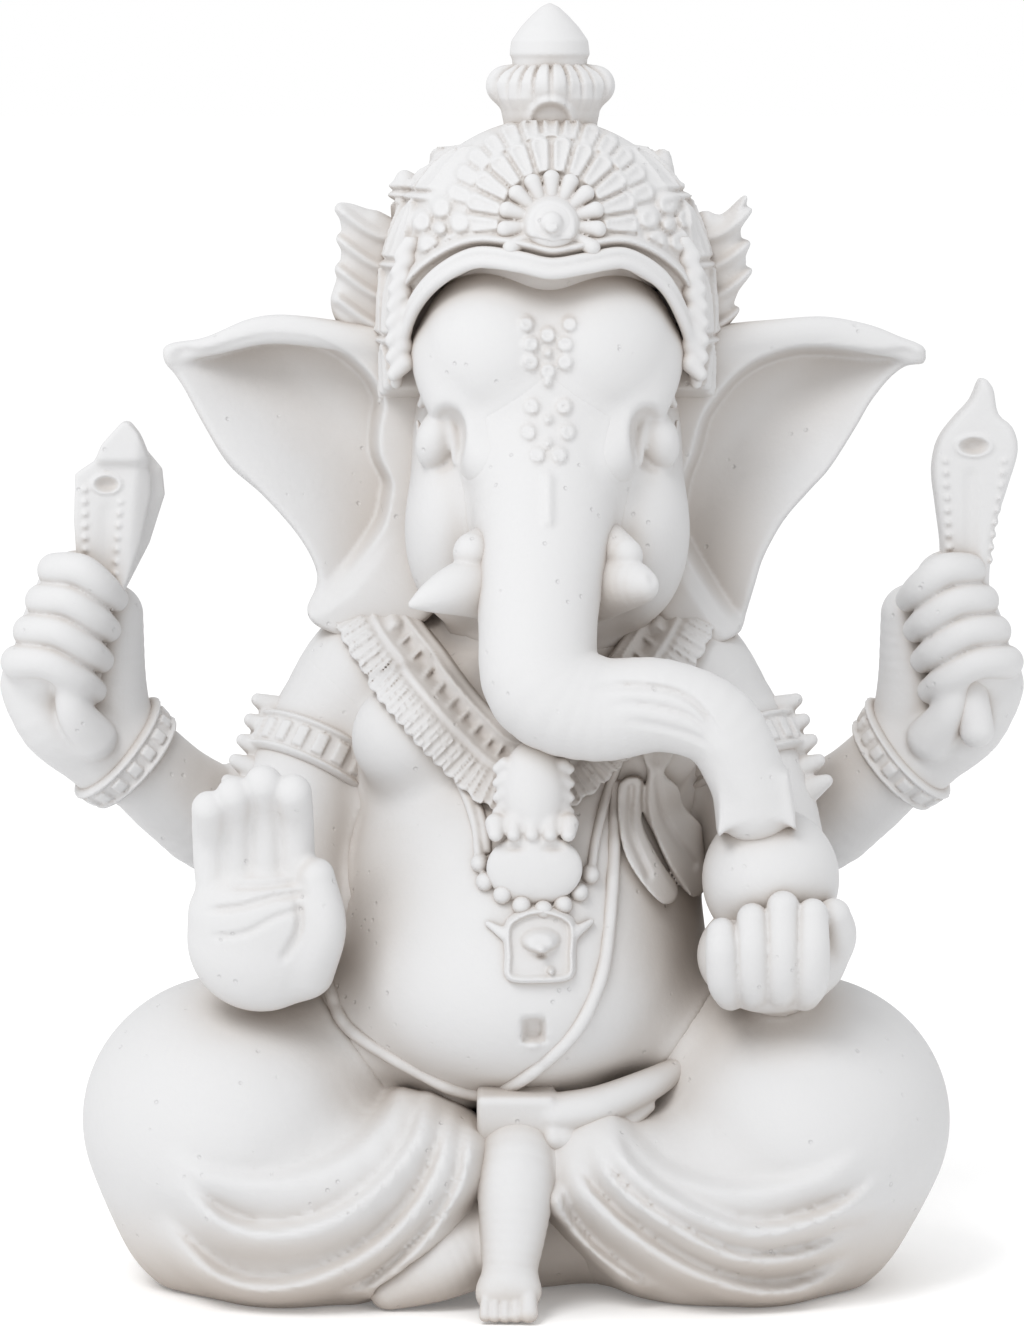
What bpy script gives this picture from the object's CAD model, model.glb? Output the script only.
"""The looks of a white cast-plaster figure: a seated, elephant-headed deity with four arms.

Every piece is sculpted as a field of distances on a grid, the way a sculptor adds, cuts and presses clay.
The field's surface becomes the piece's mesh. Sizes are in the statue's own millimetres: X to the viewer's
right, Y away from the viewer, Z up from the surface that it sits on.
"""
import math
from typing import NamedTuple
import bpy
import numpy as np
import openvdb
from mathutils import Euler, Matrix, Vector


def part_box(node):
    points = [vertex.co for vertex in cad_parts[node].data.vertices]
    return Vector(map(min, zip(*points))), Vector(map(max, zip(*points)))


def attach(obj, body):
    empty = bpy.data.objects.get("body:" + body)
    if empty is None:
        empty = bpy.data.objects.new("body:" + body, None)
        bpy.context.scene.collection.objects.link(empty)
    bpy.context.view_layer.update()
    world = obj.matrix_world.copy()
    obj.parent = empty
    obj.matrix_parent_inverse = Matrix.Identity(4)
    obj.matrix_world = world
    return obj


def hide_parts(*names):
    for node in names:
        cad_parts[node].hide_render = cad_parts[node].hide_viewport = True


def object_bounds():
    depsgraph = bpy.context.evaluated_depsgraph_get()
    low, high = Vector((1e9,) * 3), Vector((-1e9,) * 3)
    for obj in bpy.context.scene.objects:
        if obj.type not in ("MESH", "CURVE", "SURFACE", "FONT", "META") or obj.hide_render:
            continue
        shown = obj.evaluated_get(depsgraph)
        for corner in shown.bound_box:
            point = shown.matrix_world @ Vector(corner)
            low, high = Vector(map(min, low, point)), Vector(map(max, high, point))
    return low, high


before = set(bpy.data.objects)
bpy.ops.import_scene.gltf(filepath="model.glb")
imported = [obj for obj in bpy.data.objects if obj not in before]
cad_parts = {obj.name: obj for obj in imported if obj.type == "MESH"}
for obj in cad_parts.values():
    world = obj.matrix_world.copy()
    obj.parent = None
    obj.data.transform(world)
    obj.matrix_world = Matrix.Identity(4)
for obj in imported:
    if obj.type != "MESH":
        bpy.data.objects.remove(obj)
cad_low, cad_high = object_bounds()

# ---- The statue's own frame, worked out from the CAD frame ----
HEIGHT = 152.0
FEET_FRONT = -38.2
MM = (cad_high.z - cad_low.z) / HEIGHT
ORIGIN = Vector(((cad_low.x + cad_high.x) / 2, cad_low.y - FEET_FRONT * MM, cad_low.z))


def where(node, x, y, z):
    """The point at these shares of a CAD node's box, in the statue's frame."""
    low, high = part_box(node)
    point = Vector((low[i] + (high[i] - low[i]) * share for i, share in enumerate((x, y, z))))
    return np.array((point - ORIGIN) / MM)


HEAD = where("head", 0.5, 0.487, 0.611)
FAR = 9.0  # the distance that stands for "nothing near"
TURN = math.tau
SMALLEST_LUMP = 0.02
DIP = 0.4  # how steeply a piece dips under its neighbour
UNDERLAP = 2.5  # and how far it goes on under it

# Grid steps: the finer a piece's relief, the smaller its step.
FINEST = 0.22
FINER = 0.24
FINE = 0.29
MEDIUM = 0.42
COARSE = 0.54


# ---- Shapes: each knows its box and the distance to its surface ----
class Shape(NamedTuple):
    low: np.ndarray
    high: np.ndarray
    distance: object


def turned(angles):
    """A rotation matrix from angles in degrees about X, Y and Z, or None."""
    if angles is None:
        return None
    return np.array(Euler([math.radians(a) for a in angles]).to_matrix().transposed())


def local(x, y, z, centre, matrix):
    x, y, z = x - centre[0], y - centre[1], z - centre[2]
    if matrix is None:
        return x, y, z
    return tuple(row[0] * x + row[1] * y + row[2] * z for row in matrix)


def ball(centre, radii, turn=None):
    """An ellipsoid."""
    centre = np.array(centre, float)
    radii = np.broadcast_to(np.array(radii, float), 3)
    matrix = turned(turn)
    reach = radii if matrix is None else np.full(3, radii.max())

    def distance(x, y, z, margin):
        u, v, w = local(x, y, z, centre, matrix)
        near = np.sqrt((u / radii[0]) ** 2 + (v / radii[1]) ** 2 + (w / radii[2]) ** 2)
        slope = np.sqrt((u / radii[0] ** 2) ** 2 + (v / radii[1] ** 2) ** 2 + (w / radii[2] ** 2) ** 2)
        return near * (near - 1) / (slope + 1e-6)

    return Shape(centre - reach, centre + reach, distance)


def block(centre, half, corner, turn=None):
    """A box with round edges."""
    centre, half = np.array(centre, float), np.array(half, float)
    matrix = turned(turn)
    reach = half if matrix is None else np.full(3, np.linalg.norm(half))

    def distance(x, y, z, margin):
        q = [np.abs(a) - h + corner for a, h in zip(local(x, y, z, centre, matrix), half)]
        outside = np.sqrt(sum(np.maximum(a, 0) ** 2 for a in q))
        return outside + np.minimum(np.maximum(np.maximum(q[0], q[1]), q[2]), 0) - corner

    return Shape(centre - reach, centre + reach, distance)


def smooth(points, gap, closed=False):
    """Rows of numbers about a gap apart, on a smooth curve through the given rows."""
    p = np.array(points, float)
    before, after = (p[-1:], p[:2]) if closed else (2 * p[:1] - p[1:2], 2 * p[-1:] - p[-2:-1])
    rows = np.vstack([before, p, after])
    out = []
    for a, b, c, d in zip(rows, rows[1:], rows[2:], rows[3:]):
        count = max(2, math.ceil(np.linalg.norm((c - b)[:3]) / gap))
        t = np.arange(count)[:, None] / count
        bend, twist = 2 * a - 5 * b + 4 * c - d, 3 * b - a - 3 * c + d
        out.append(0.5 * (2 * b + (c - a) * t + bend * t**2 + twist * t**3))
    if not closed:
        out.append(p[-1:])
    return np.vstack(out)


def limb(points, radii):
    """A round body along a smooth path, with a radius at each of its points."""
    radii = np.broadcast_to(np.array(radii, float), len(points))
    rows = smooth(np.column_stack([points, radii]), max(0.35, 0.4 * radii.min()))
    low = (rows[:, :3] - rows[:, 3:]).min(0)
    high = (rows[:, :3] + rows[:, 3:]).max(0)

    def distance(x, y, z, margin):
        out = np.full((x.size, y.size, z.size), FAR, np.float32)
        axes = (x.ravel(), y.ravel(), z.ravel())
        for a, b in zip(rows, rows[1:]):
            reach = max(a[3], b[3]) + margin
            cut = []
            for axis, p, q in zip(axes, a, b):
                cut.append(slice(*np.searchsorted(axis, (min(p, q) - reach, max(p, q) + reach))))
            if any(s.start == s.stop for s in cut):
                continue
            u, v, w = x[cut[0]] - a[0], y[:, cut[1]] - a[1], z[:, :, cut[2]] - a[2]
            along = (b - a)[:3]
            t = np.clip((u * along[0] + v * along[1] + w * along[2]) / max(along @ along, 1e-9), 0, 1)
            away = np.sqrt((u - t * along[0]) ** 2 + (v - t * along[1]) ** 2 + (w - t * along[2]) ** 2)
            part = out[tuple(cut)]
            np.minimum(part, away - a[3] - t * (b[3] - a[3]), out=part)
        return out

    return Shape(low, high, distance)


def outline(x, z, points, gap=1.0, curved=True):
    """Distance in the XZ plane to a closed outline, negative inside."""
    p = smooth(points, gap, closed=True) if curved else np.array(points, float)
    near = np.full(np.broadcast_shapes(x.shape, z.shape), 1e9, np.float32)
    inside = np.zeros(near.shape, bool)
    for (ax, az), (bx, bz) in zip(p, np.roll(p, -1, 0)):
        dx, dz = bx - ax, bz - az
        t = np.clip(((x - ax) * dx + (z - az) * dz) / max(dx * dx + dz * dz, 1e-9), 0, 1)
        near = np.minimum(near, (x - ax - t * dx) ** 2 + (z - az - t * dz) ** 2)
        if az != bz:
            inside ^= ((z >= az) != (z >= bz)) & (x < ax + (z - az) * dx / dz)
    return np.where(inside, -1, 1) * np.sqrt(near)


def plate(points, middle, half, corner=0.6, curved=True):
    """A plate that shows this outline to the front, and lies this far to each side of its middle depth."""
    p = np.array(points, float)

    def distance(x, y, z, margin):
        side = outline(x[:, 0], z[0], p, curved=curved)[:, None, :]
        return smooth_max(side, np.abs(y - middle) - half, corner)

    low = np.array([p[:, 0].min(), middle - half, p[:, 1].min()])
    return Shape(low, np.array([p[:, 0].max(), middle + half, p[:, 1].max()]), distance)


def smooth_min(a, b, blend):
    if blend <= 0:
        return np.minimum(a, b)
    overlap = np.maximum(blend - np.abs(a - b), 0) / blend
    return np.minimum(a, b) - overlap * overlap * blend * 0.25


def smooth_max(a, b, blend):
    return -smooth_min(-a, -b, blend)


def step_up(value, start, end):
    """0 at start, 1 at end, smooth between."""
    t = np.clip((value - start) / (end - start), 0, 1)
    return t * t * (3 - 2 * t)


def bump(distance, reach):
    """1 on the line, 0 at this reach from it."""
    return step_up(np.abs(distance), reach, 0)


def stroke(x, z, points, gap=0.8):
    """The distance to a curve in the XZ plane, the side of it (left is positive) and the share along it."""
    p = smooth(points, gap)
    shape = np.broadcast_shapes(x.shape, z.shape)
    best = np.full(shape, 1e9, np.float32)
    side = np.zeros(shape, np.float32)
    share = np.zeros(shape, np.float32)
    for i, ((ax, az), (bx, bz)) in enumerate(zip(p, p[1:])):
        dx, dz = bx - ax, bz - az
        t = np.clip(((x - ax) * dx + (z - az) * dz) / max(dx * dx + dz * dz, 1e-9), 0, 1)
        away = (x - ax - t * dx) ** 2 + (z - az - t * dz) ** 2
        nearer = away < best
        best = np.where(nearer, away, best)
        side = np.where(nearer, np.sign(dx * (z - az) - dz * (x - ax)), side)
        share = np.where(nearer, (i + t) / (len(p) - 1), share)
    return np.sqrt(best), side, share


def line(x, z, points, width, start=0.0, end=1.0):
    """1 along a curve, 0 at this width from it. It fades in up to the share start and out after end."""
    away, _, share = stroke(x, z, points)
    ends = step_up(share, 0, start) * step_up(share, 1, end) if start else 1
    return bump(away, width) * ends


# ---- Clay: a grid of distances that shapes are added to and cut from ----
class Clay:
    def __init__(self, low, high, step, part=None):
        self.low = np.array(low, float)
        self.step = step
        self.part = part
        count = np.ceil((np.array(high, float) - self.low) / step).astype(int) + 1
        self.axes = [np.float32(self.low[i] + step * np.arange(count[i])) for i in range(3)]
        self.field = np.full(count, FAR, np.float32)
        if part:
            self.own = self.field.copy()
            self.rest = self.field.copy()

    def places(self):
        return self.axes[0][:, None, None], self.axes[1][None, :, None], self.axes[2][None, None, :]

    def window(self, shape, margin):
        cut = []
        for axis, low, high in zip(self.axes, shape.low - margin, shape.high + margin):
            cut.append(slice(*np.searchsorted(axis, (low, high))))
        if any(s.start == s.stop for s in cut):
            return None, None
        x, y, z = self.places()
        return tuple(cut), shape.distance(x[cut[0]], y[:, cut[1]], z[:, :, cut[2]], margin)

    def add(self, shape, blend=1.0, part=None):
        cut, distance = self.window(shape, max(blend, 0) + 2.5)
        if cut is None:
            return
        self.field[cut] = smooth_min(self.field[cut], distance, blend)
        if self.part and part:
            mine = self.own if part == self.part else self.rest
            mine[cut] = np.minimum(mine[cut], distance)

    def roll(self, points, radii, blend, part=None):
        """Adds a limb."""
        self.add(limb(points, radii), blend, part)

    def cut(self, shape, blend=0.5):
        cut, distance = self.window(shape, blend + 1.5)
        if cut is not None:
            self.field[cut] = smooth_max(self.field[cut], -distance, blend)

    def press(self, height, front=None):
        """Raises the surface by height(x, z) mm, on the viewer's side of this depth if one is given."""
        x, y, z = self.places()
        raised = height(x[:, 0], z[0])[:, None, :]
        if front is not None:
            raised = raised * step_up(y, front + 2, front)
        self.field -= raised.astype(np.float32)

    def keep(self, distance, blend=0.4):
        """Keeps only what lies inside this distance."""
        self.field = smooth_max(self.field, distance.astype(np.float32), blend)

    def territory(self):
        """The part's own share of the clay. It dips under its neighbours, so no two surfaces coincide."""
        beyond = self.own - self.rest
        return np.maximum(self.field + DIP * np.maximum(beyond, 0), beyond - UNDERLAP)

    def front(self, x, z, lift=0.0):
        """The point of the surface that a viewer in front sees at this x and z."""
        i = int(np.clip(round((x - self.low[0]) / self.step), 0, self.field.shape[0] - 1))
        k = int(np.clip(round((z - self.low[2]) / self.step), 0, self.field.shape[2] - 1))
        column = self.field[i, :, k]
        inside = np.nonzero(column < 0)[0]
        if not len(inside) or inside[0] == 0:
            return np.array([x, self.low[1], z])
        j = inside[0]
        share = column[j - 1] / (column[j - 1] - column[j])
        return np.array([x, self.low[1] + (j - 1 + share) * self.step - lift, z])


# ---- Making Blender objects ----
def finish_mesh(name, clay):
    """The clay's surface as a Blender object that stands for the CAD node of this name."""
    padded = np.pad(clay.field, 2, constant_values=FAR)
    grid = openvdb.FloatGrid(FAR)
    grid.copyFromArray(padded.astype(np.float32))
    points, quads = main_body(*grid.convertToQuads())
    points = (points - 2) * clay.step + clay.low
    points = points * MM + np.array(ORIGIN)
    mesh = bpy.data.meshes.new(name + "_cast")
    mesh.vertices.add(len(points))
    mesh.vertices.foreach_set("co", points.astype(np.float32).ravel())
    mesh.loops.add(quads.size)
    mesh.loops.foreach_set("vertex_index", quads.astype(np.int32).ravel())
    mesh.polygons.add(len(quads))
    mesh.polygons.foreach_set("loop_start", np.arange(0, quads.size, 4, dtype=np.int32))
    mesh.update(calc_edges=True)
    mesh.shade_smooth()
    mesh.materials.append(PLASTER)
    piece = bpy.data.objects.new(name + "_cast", mesh)
    bpy.context.scene.collection.objects.link(piece)
    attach(piece, "root")
    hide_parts(name)


def main_body(points, quads):
    """Drops crumbs: connected lumps with less than the smallest share of the points."""
    group = np.arange(len(points))
    while True:
        lowest = group[quads].min(1)
        new = group.copy()
        for k in range(4):
            np.minimum.at(new, quads[:, k], lowest)
        new = new[new]
        if (new == group).all():
            break
        group = new
    names, counts = np.unique(group, return_counts=True)
    kept = np.isin(group, names[counts >= SMALLEST_LUMP * len(points)])
    if kept.all():
        return points, quads
    index = np.cumsum(kept) - 1
    return points[kept], index[quads[kept[quads[:, 0]]]]


PIECES = []
SIDES = ((-1, "right"), (1, "left"))


def sculpt(name, low, high, step, work):
    """Notes a piece to be made: work(clay) fills the clay between these corners."""
    PIECES.append((name, low, high, step, work))


# ---- Flesh: the body that all the pieces share ----
def on_head(x, y, z):
    return HEAD + (x, y, z)


def head_path(*points):
    return [on_head(*point) for point in points]


def head_outline(points, side=1):
    return [(HEAD[0] + side * u, HEAD[2] + w) for u, w in points]


def torso(clay):
    part = "torso"
    clay.add(ball((0.3, -5, 36.5), (23.2, 26, 17.5)), 4, part)
    clay.add(ball((1, -4, 48), (20.8, 22, 16)), 6, part)
    clay.add(ball((1.8, 0, 61), (21.5, 17.5, 16)), 5, part)
    clay.add(ball((1, 11, 46), (22, 18.5, 27)), 6, part)
    for side in (-1, 1):
        clay.add(ball((1.8 + side * 17, 4, 69.5), (10.5, 10, 9.5)), 4, part)
        clay.add(ball((1.8 + side * 13, -11.2, 65), (7.8, 6.8, 7.2)), 2.6, part)
    clay.roll([(2.5, 6, 68), (3.2, 6, 86)], [13, 11], 4, part)


def leg(clay, side, part):
    clay.add(ball((side * 20, 3, 17), (21, 21, 16.5)), 3, part)
    knee = 33.2 if side < 0 else 34.2
    clay.add(ball((side * knee, -11.5, 19.4), (18, 21, 17)), 8, part)
    clay.add(ball((side * 24.5, -13, 8), (17.5, 19, 12)), 5, part)
    shin = [(side * 36, -15, 9), (side * 27, -20.5, 9.5), (side * 17, -23.5, 12), (side * 9.5, -24, 15.5)]
    clay.roll(shin, [10, 10, 8.8, 7], 5, part)


def torso_and_legs(clay):
    """Torso and legs: the flesh that the necklaces and the thread lie on."""
    torso(clay)
    for side, name in SIDES:
        leg(clay, side, name + "_leg")


def seat(clay):
    clay.add(ball((0, 12, 13), (29, 22.5, 15)), 4, "seat")
    clay.add(ball((0, -9, 7), (17, 15, 9)), 4, "seat")


def feet(clay):
    instep = [(0.8, -23.5, 18.4), (0.5, -28.5, 15.5), (0.1, -31.4, 9), (-0.4, -33, 4.6)]
    clay.roll(instep, [5, 4.7, 3.7, 3], 0.8, "right_foot")
    clay.roll([(-2.1, -34, 3), (1.2, -34, 3.2)], [2.1, 2.2], 1.6, "right_foot")
    for x, z, r in ((-3.1, 0.95, 0.62), (-2.0, 0.9, 0.66), (-0.8, 0.9, 0.7), (0.45, 0.95, 0.74)):
        toe = [(x * 0.9, -34.6, z + 3), (x, -36, z + 1), (x, -36.7, z)]
        clay.roll(toe, [r, r, r * 1.1], 0.1, "right_foot")
    clay.roll([(1.6, -34, 4.5), (1.9, -35.8, 2.5), (1.9, -36.8, 1.25)], [1.1, 1, 1.1], 0.15, "right_foot")
    clay.roll([(-3, -25.5, 7.6), (-8.6, -28, 5.4), (-14.2, -29, 2.4)], [5.2, 4.5, 2.5], 0.8, "left_foot")


def front_arm(clay, side, part):
    middle = 1.8
    path = [(-4.5, 1, 1), (3, -3, -8), (6.6, -9, -17.5), (7.4, -16.5, -24.5), (7.4, -24, -27.5)]
    points = [(middle + side * (21.5 + x), 4 + y, 69.5 + z) for x, y, z in path]
    clay.roll(points, [9.4, 8.3, 7.4, 6.8, 6], 2.5, part)


def rear_arm(clay, side, part):
    path = [(14.5, 12, 66.5), (24, 15, 56), (35, 13.5, 51.8), (41, 11, 54.8), (46.6, 8, 60.4)]
    points = [(0.6 + side * x, y, z) for x, y, z in path]
    clay.roll(points, [9, 8, 7, 6.1, 5.6], 2.5, part)


def rear_hand(clay, side, part):
    """A fist round an upright shaft: the palm on the inner side, four curled fingers stacked in front."""
    at = lambda x, y, z: (side * x, y, z)
    clay.roll([at(48.5, 7.5, 61), at(49.5, 7, 69), at(48.6, 6, 78)], [5.3, 5, 3.8], 2, part)
    clay.roll([at(49.5, 6, 60.5), at(55.5, 3.5, 65), at(58, 3, 70)], [4.6, 4.3, 3.8], 2, part)
    clay.roll([at(57.8, 4, 69), at(56.6, 4.5, 76), at(54.5, 5, 83)], [3.4, 3.2, 2.4], 2, part)
    clay.roll([at(52.4, 0.6, 82.4), at(54.2, 0.8, 77), at(56, 1, 72.6)], [3.9, 4.1, 4.1], 1.2, part)
    for i in range(4):
        z, out = 83.6 - 3.7 * i, 1.5 * i
        curl = [at(55.2 + out, 3.6, z - 0.2), at(54.8 + out, -1, z + 0.5),
                at(51.6 + 0.9 * out, -3.3, z + 0.6), at(49.2 + 0.7 * out, -2.4, z - 1.4),
                at(47.8 + 0.6 * out, 0.8, z - 3.2)]
        clay.roll(curl, [1.9, 2.05, 2.0, 1.95, 1.6], 0.3, part)
    clay.roll([at(50.5, 1, 63.5), at(52.6, -1.4, 67), at(53.4, -2.2, 71.5)], [2.8, 2.2, 1.5], 0.8, part)


def raised_palm(clay):
    part = "front_right_hand"
    clay.add(ball((-29.2, -25.5, 43.2), (8.6, 5.2, 8.6)), 2.5, part)
    clay.add(ball((-28.6, -26.5, 47), (8.6, 4.4, 5)), 2, part)
    tips = ((-34.9, 59.1, 2.1), (-32, 60.6, 2.2), (-28.6, 61.9, 2.3), (-25.2, 60.9, 2.25))
    for x, top, r in tips:
        base = -29.6 + (x + 30) * 0.92
        finger = [(base, -27, 46), (x + 0.1, -26.8, 52), (x, -27.6, top - 3.4), (x, -30.4, top)]
        clay.roll(finger, [r + 0.1, r, r, r - 0.1], 0.7, part)
    clay.roll([(-24, -25.5, 39.5), (-21.9, -28, 45), (-22.6, -28.8, 51)], [3.4, 2.7, 2.1], 1.2, part)


def cupped_hand(clay):
    part = "front_left_hand"
    clay.add(ball((30.2, -24.2, 41), (8.6, 7, 6.8)), 2.5, part)
    clay.add(block((29.6, -29.2, 41.4), (6.2, 2.4, 4), 2), 1.5, part)
    for x, top, r in ((24.2, 44.8, 1.95), (27.7, 46.4, 2.05), (31.2, 47.8, 2.1), (34.6, 47, 2.0)):
        finger = [(x * 0.82 + 5.6, -26.4, 36.8), (x * 0.95 + 1.6, -30.6, 39), (x, -32.2, 43),
                  (x, -31.6, top)]
        clay.roll(finger, [r, r + 0.1, r, r - 0.2], 0.25, part)
    clay.roll([(35.8, -24, 40), (37.4, -27, 43.6), (37.2, -28.8, 46.4)], [3, 2.6, 2.0], 0.8, part)


def head(clay):
    part = "head"
    clay.add(ball(on_head(0, 1, 0), (16.6, 18.5, 23)), 2, part)
    clay.add(ball(on_head(0, -5, -16), (11, 9, 8)), 4, part)
    for side in (-1, 1):
        clay.add(ball(on_head(side * 5.6, -9.5, 12.6), (9.8, 9.9, 10.6)), 3, part)
        clay.add(ball(on_head(side * 10.2, -7, -8.5), (6.8, 8.8, 11.5)), 2.5, part)
        brow = head_path((side * 12.6, -9.6, 12.4), (side * 11.2, -13.2, 7), (side * 7.4, -16.6, 0.6))
        clay.roll(brow, [3.4, 3.0, 2.6], 2.2, part)


def trunk(clay):
    part = "trunk"
    rows = [
        (0, -8, 6, 10.6), (0, -10.4, 1.4, 10.2), (-0.3, -14.6, -4, 8.9), (-0.7, -19.6, -10.4, 7.8),
        (-1.2, -25, -18.5, 6.9), (-0.4, -27.4, -25, 6.9), (5.5, -28.4, -27.7, 6.1), (13, -29, -27.2, 5.4),
        (19.6, -29.2, -29.6, 4.9), (22.9, -28.8, -35.4, 4.5), (23.9, -28.2, -39, 4.4),
    ]
    clay.roll([on_head(*row[:3]) for row in rows], [row[3] for row in rows], 2.4, part)
    lips = [(20, -35), (19.5, -42.4), (23.6, -39), (24.9, -38.9), (28.7, -41.6), (27.6, -35)]
    clay.add(plate(head_outline(lips), HEAD[1] - 28.6, 3.2, 0.6, curved=False), 1.2, part)


def eyes(clay):
    """Almond eyes that slant down towards the trunk, each in a socket under its lid."""
    for side in (-1, 1):
        slant = (0, side * -20, side * 24)
        clay.cut(ball(on_head(side * 13.2, -17, 1.8), (3.3, 4.6, 5.2), slant), 1.0)
        clay.add(ball(on_head(side * 12.7, -11.3, 2.6), (2.7, 3.2, 4.0), slant), 0.3, "head")
        lid = [(15, -8.6, 6.4), (13.9, -11.2, 7.9), (12.2, -13, 6.8), (11.2, -13.9, 3.6), (10.8, -14.2, 0)]
        clay.roll([on_head(side * x, y, z) for x, y, z in lid], [0.5, 0.7, 0.75, 0.65, 0.4], 0.4, "head")
        low = [(15.4, -8.4, 4.4), (14.6, -10.2, 0.6), (12.8, -12.4, -1.8), (11, -13.6, -1.4)]
        clay.roll([on_head(side * x, y, z) for x, y, z in low], [0.3, 0.5, 0.5, 0.3], 0.5, "head")


def flesh(clay):
    """Every soft form of the figure, in one order, so that neighbouring pieces meet exactly."""
    torso_and_legs(clay)
    seat(clay)
    for side, name in SIDES:
        rear_arm(clay, side, f"rear_{name}_arm")
        front_arm(clay, side, f"front_{name}_arm")
    for side, name in SIDES:
        rear_hand(clay, side, f"rear_{name}_hand")
    raised_palm(clay)
    cupped_hand(clay)
    feet(clay)
    head(clay)
    eyes(clay)
    trunk(clay)
    x, y, z = clay.places()
    clay.keep(0.05 - z + 0 * (x + y), 0.5)


# ---- Relief that is pressed into the flesh ----
def swag(x, z, height, above, below, points):
    """A fold of cloth: it swells towards its edge and drops off sharply below it."""
    away, side, share = stroke(x, z, points)
    over = 1 - step_up(away, 0, above)
    under = 1 - step_up(away, 0, below)
    ends = step_up(share, 0, 0.12) * step_up(share, 1, 0.8)
    return height * ends * np.where(side > 0, over, under)


# Each fold: its height, how far it reaches above and below its edge, and that edge as on the right leg.
FOLDS = {
    -1: [
        (1.5, 6, 1.8, [(-11.8, 27.5), (-13.5, 23.5), (-17.5, 19.2), (-23.5, 16.4), (-30, 15.6),
                       (-36.5, 16.8), (-41, 19.5)]),
        (2.5, 4.5, 1.2, [(-9.2, 25.5), (-11.2, 20.5), (-14.8, 16), (-20.4, 12), (-27.5, 10.2),
                         (-33.5, 11.4), (-40, 17)]),
        (2.4, 4.5, 1.2, [(-6.6, 24), (-8.4, 17.6), (-12.4, 11.4), (-18.4, 6.6), (-26.6, 3.6), (-34, 4.6),
                         (-42, 11)]),
        (2.0, 3.2, 1.1, [(-4.6, 22.6), (-5.8, 15.6), (-9.4, 9.6), (-15.6, 3.8), (-21, 1.4)]),
    ],
    1: [
        (1.5, 6, 1.8, [(-9.8, 25.5), (-12.6, 21), (-17, 17), (-23.5, 14.8), (-29.6, 14.8), (-36, 16.4),
                       (-42, 19.5)]),
        (2.5, 4.2, 1.2, [(-10.6, 22.4), (-14, 17.6), (-20, 13.4), (-27, 10.6), (-33, 10.9), (-39, 13),
                         (-44, 16.5)]),
        (2.0, 3.0, 1.0, [(-9, 20), (-12.4, 15.4), (-18, 11.4), (-25.6, 7.4), (-33, 7), (-41, 9.5)]),
        (2.2, 3.6, 1.1, [(-6.4, 18), (-9.6, 13.8), (-14.6, 9.4), (-22, 5), (-31, 2.6), (-40.4, 5)]),
        (1.7, 2.6, 1.0, [(-4.9, 15.4), (-7, 9.8), (-11.6, 5.4), (-17, 2)]),
    ],
}


def leg_relief(side):
    return lambda x, z: sum(swag(-side * x, z, *fold) for fold in FOLDS[side])


PALM_CREASES = [
    ([(-36, 47), (-31.5, 47.6), (-27, 48.8), (-23, 49)], 0.8, 0.5),
    ([(-35.5, 44), (-31, 44.6), (-27, 46.6), (-23.4, 47.4)], 0.7, 0.35),
    ([(-33, 49.8), (-28, 50), (-24.4, 50.4)], 0.7, 0.35),
    ([(-24.8, 49), (-24.6, 45), (-27, 40.6)], 0.9, 0.45),
]


def palm_relief(x, z):
    return -sum(depth * line(x, z, points, width, 0.2, 0.8) for points, width, depth in PALM_CREASES)


def trunk_relief(x, z):
    """Three long wrinkles along the bend, and the part of the forehead's mark that reaches the trunk."""
    u, w = x - HEAD[0], z - HEAD[2]
    out = forehead_mark(u, w)
    for drop in (0, 1.9, 4):
        points = [(4 + drop, -25 - drop), (10, -24.5 - drop), (16.2, -26 - drop), (21 - drop * 0.4, -32)]
        out = out - (0.6 - 0.07 * drop) * line(u, w, points, 0.8, 0.3, 0.75)
    return out


def forehead_mark(u, w):
    """A generic flower above a column of small petals, and the raised line below them."""
    out = 0.6 * line(u, w, [(0, -6), (0, -1.4)], 1.1)
    turns = np.arange(6) * math.pi / 3 + math.pi / 6
    loops = [(2.3 * math.cos(a), 13 + 2.1 * math.sin(a), 0.75) for a in turns]
    for side in (-1, 1):
        for across, height, radius in ((2.5, 16.4, 0.7), (1.9, 6.8, 0.75), (2.3, 3.9, 0.75),
                                       (1.3, 1.3, 0.75)):
            loops.append((side * across, height, radius))
    for px, pz, radius in loops:
        away = np.hypot(u - px, w - pz)
        petal = 0.65 * step_up(away, radius * 1.6, radius * 0.8)
        out = np.maximum(out, petal - 0.3 * step_up(away, radius, 0))
    for height in (13, 9.6, 5.3, 2.6):
        out = np.maximum(out, 0.8 * bump(np.hypot(u, w - height), 0.95))
    return out


def head_relief(x, z):
    return forehead_mark(x - HEAD[0], z - HEAD[2])


def belly_relief(x, z):
    """The navel: a small square hole over a lip."""
    hole = np.maximum(np.abs(x - 2.5) / 1.3, np.abs(z - 33.2) / 1.5)
    return 0.45 * bump(np.hypot(x - 2.5, (z - 31.4) * 1.3), 1.5) - 1.5 * step_up(hole, 1.25, 0.5)


def body_piece(name, low, high, step, relief=None, front=None):
    def work(clay):
        flesh(clay)
        if relief:
            clay.press(relief, front)
        clay.field = clay.territory()

    sculpt(name, low, high, step, work)


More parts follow.
